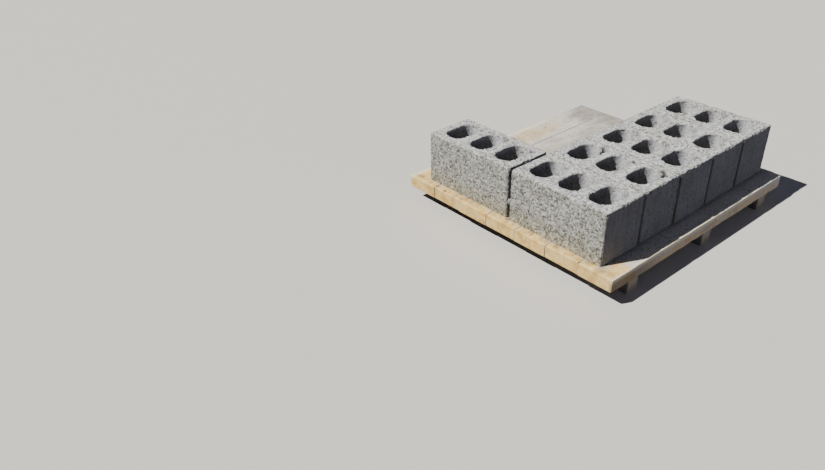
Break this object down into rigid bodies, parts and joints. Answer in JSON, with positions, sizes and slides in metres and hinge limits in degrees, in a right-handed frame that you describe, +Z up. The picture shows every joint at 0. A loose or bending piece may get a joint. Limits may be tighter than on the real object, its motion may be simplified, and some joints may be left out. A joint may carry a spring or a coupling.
{
  "type": "pallet of concrete blocks",
  "caption": "Low timber production pallet carrying hollow concrete wall blocks: a full front row and a single block behind its left end.",
  "frame": {"origin": "on the floor, under the middle of the deck", "axes": "+X along the row of five blocks, towards its far end from the single block; +Y from the full row to the single block behind it; +Z up"},
  "size_m": [1.01, 0.929, 0.283],
  "materials": {
    "concrete": "rough",
    "timber": "sawn"
  },
  "bodies": {
    "root": {"front_block_1": "concrete", "front_block_2": "concrete", "front_block_3": "concrete", "front_block_4": "concrete", "front_block_5": "concrete", "back_block": "concrete", "deck_board_1": "timber", "deck_board_2": "timber", "deck_board_3": "timber", "deck_board_4": "timber", "deck_board_5": "timber", "deck_board_6": "timber", "deck_board_7": "timber", "bearer_left": "timber", "bearer_middle": "timber", "bearer_right": "timber"}
  },
  "joints": []
}
